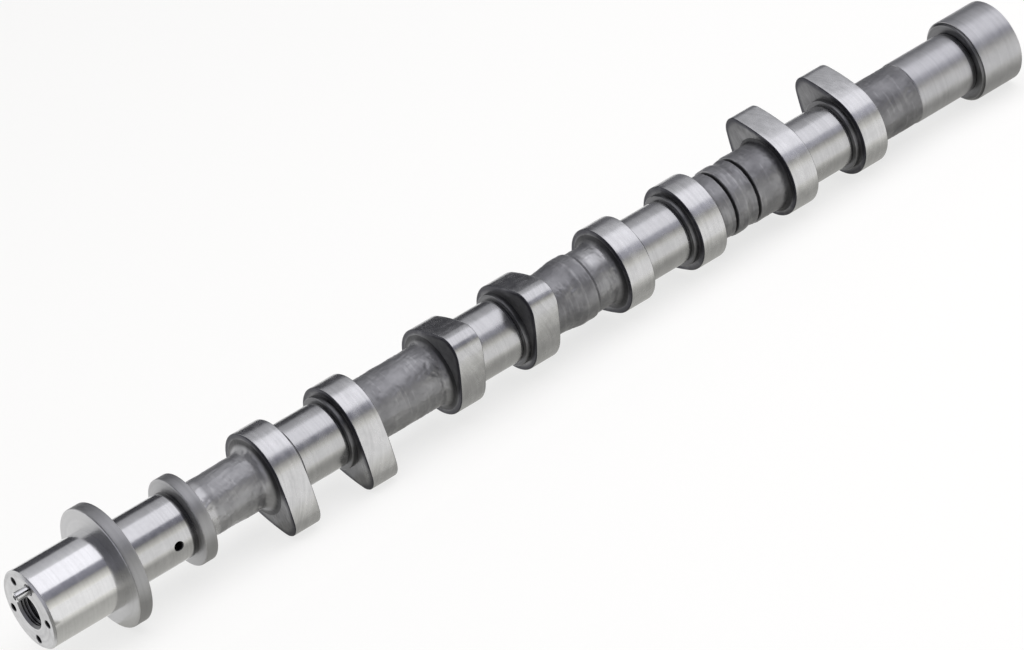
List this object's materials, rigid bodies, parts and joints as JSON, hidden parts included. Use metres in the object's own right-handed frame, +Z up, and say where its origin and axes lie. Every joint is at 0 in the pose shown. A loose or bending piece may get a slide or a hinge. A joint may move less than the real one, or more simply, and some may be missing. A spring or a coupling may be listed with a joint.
{
  "type": "camshaft",
  "caption": "Cast iron engine camshaft with paired cam lobes, ground bearing journals, a thrust flange and a drilled nose with a dowel for the timing sprocket.",
  "frame": {"origin": "on the shaft's centre line, in the plane of the thrust flange's front face", "axes": "+X along the shaft from the nose to the rear boss, +Z up as the shaft lies at rest on its thrust flange and rear boss, with two pairs of lobes low on either side"},
  "size_m": [0.5057, 0.0514, 0.0514],
  "materials": {
    "cast_iron": "as cast, with ground journals, lobes and nose",
    "pin_steel": "plain hardened steel"
  },
  "bodies": {
    "root": {"camshaft": "cast_iron", "dowel_pin": "pin_steel"}
  },
  "joints": []
}
